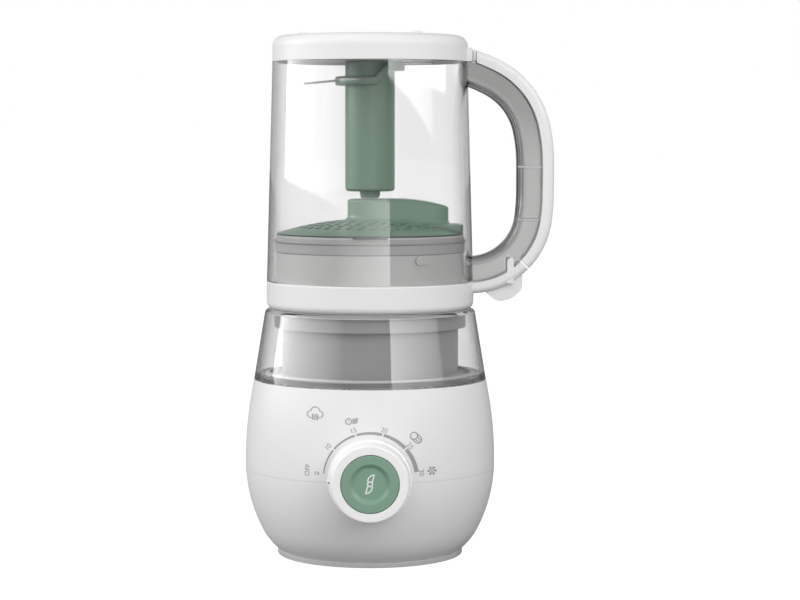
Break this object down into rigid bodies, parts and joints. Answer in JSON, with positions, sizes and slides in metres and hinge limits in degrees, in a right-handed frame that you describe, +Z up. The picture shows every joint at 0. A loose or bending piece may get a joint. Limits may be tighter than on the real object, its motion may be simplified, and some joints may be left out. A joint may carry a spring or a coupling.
{
  "type": "baby food maker",
  "caption": "Countertop baby food steamer and blender: round bowl base with dial, clear water tank, and an upside-down clear jar with handle, lid, strainer and blade.",
  "frame": {"origin": "on the table plane, under the axis of the base, jar and motor", "axes": "+Z up along the jar and motor axis, -Y towards the user and the dial, +X towards the jar handle"},
  "size_m": [0.1865, 0.1735, 0.3159],
  "materials": {
    "white_plastic": "satin moulded white",
    "white_base": "fine matte moulding",
    "knob_white": "satin moulded white",
    "green_plastic": "satin sage green",
    "grey_insert": "light grey moulding",
    "smoke_clear": "smoky clear plastic",
    "jar_clear": "clear plastic",
    "silicone": "soft translucent silicone",
    "dark_rubber": "matte rubber",
    "steel": "plain steel",
    "cast_alloy": "as cast",
    "lamination": "stacked sheet steel",
    "copper": "lacquered copper",
    "brass": "turned bush metal",
    "black_plastic": "matte black moulding",
    "white_pin": "white moulding",
    "board_green": "lacquered board"
  },
  "bodies": {
    "base": {"base_plate": "white_base", "rubber_feet": "dark_rubber", "lower_housing": "white_plastic", "upper_housing": "white_plastic", "housing_screws": "steel", "cord_gland": "dark_rubber", "timer_unit": "black_plastic", "timer_screws": "steel", "blend_switch": "black_plastic", "tank_window": "smoke_clear", "tank_core": "grey_insert", "tank_gasket": "silicone", "jar_seat": "grey_insert", "shaft_seal": "silicone", "interlock_switch": "black_plastic", "motor_dampers": "dark_rubber", "motor_fasteners": "steel", "lower_bracket": "cast_alloy", "upper_bracket": "cast_alloy", "motor_bearings": "steel", "motor_stator": "lamination", "field_coils": "copper", "brush_boxes": "black_plastic", "boiler_body": "cast_alloy", "boiler_lid": "cast_alloy", "heating_element": "steel", "thermostat": "black_plastic", "hoses": "silicone", "steam_nozzle": "silicone", "control_board": "board_green"},
    "rotor": {"motor_shaft": "steel", "armature": "lamination", "commutator": "copper", "cooling_fan": "black_plastic", "drive_coupling": "black_plastic"},
    "knob": {"control_knob": "knob_white"},
    "button": {"blend_button": "green_plastic", "button_plunger": "black_plastic", "button_spring": "steel"},
    "interlock": {"interlock_pin": "white_pin", "interlock_spring": "steel"},
    "filler": {"filler_plug": "white_base", "plug_seal": "silicone"},
    "lid": {"lid_rim": "white_plastic", "steam_grommet": "silicone", "lid_cup": "grey_insert", "lid_seal": "silicone", "strainer": "green_plastic"},
    "jar": {"jar": "jar_clear", "jar_end": "white_plastic", "jar_cap": "white_plastic", "handle_frame": "jar_clear", "handle_cover": "white_plastic", "handle_clip": "white_plastic", "spindle_bush": "brass", "spindle_seal": "silicone"},
    "blade": {"blade_hub": "green_plastic", "blade_steel": "steel", "spindle": "steel", "jar_coupling": "black_plastic"}
  },
  "joints": [
    {"name": "lid_lift", "type": "slide", "parent": "base", "child": "lid", "axis": [0, 0, 1], "range_m": [0, 0.06]},
    {"name": "jar_lift", "type": "slide", "parent": "lid", "child": "jar", "axis": [0, 0, 1], "range_m": [0, 0.075]},
    {"name": "blade_spin", "type": "hinge", "parent": "jar", "child": "blade", "pos_m": [0, 0, 0.25], "axis": [0, 0, 1], "continuous": true},
    {"name": "motor_spin", "type": "hinge", "parent": "base", "child": "rotor", "pos_m": [0, 0, 0.068], "axis": [0, 0, 1], "continuous": true},
    {"name": "knob_turn", "type": "hinge", "parent": "base", "child": "knob", "pos_m": [0, -0.086, 0.056], "axis": [0, 1, 0], "range_deg": [0, 174]},
    {"name": "button_press", "type": "slide", "parent": "base", "child": "button", "axis": [0, 1, 0], "range_m": [0, 0.0025], "stiffness_N_per_m": 300, "deforming": ["button_spring"]},
    {"name": "interlock_press", "type": "slide", "parent": "base", "child": "interlock", "axis": [0, 0, -1], "range_m": [0, 0.0022], "stiffness_N_per_m": 150, "deforming": ["interlock_spring"]},
    {"name": "filler_pull", "type": "slide", "parent": "base", "child": "filler", "axis": [0, 1, 0], "range_m": [0, 0.025]}
  ]
}
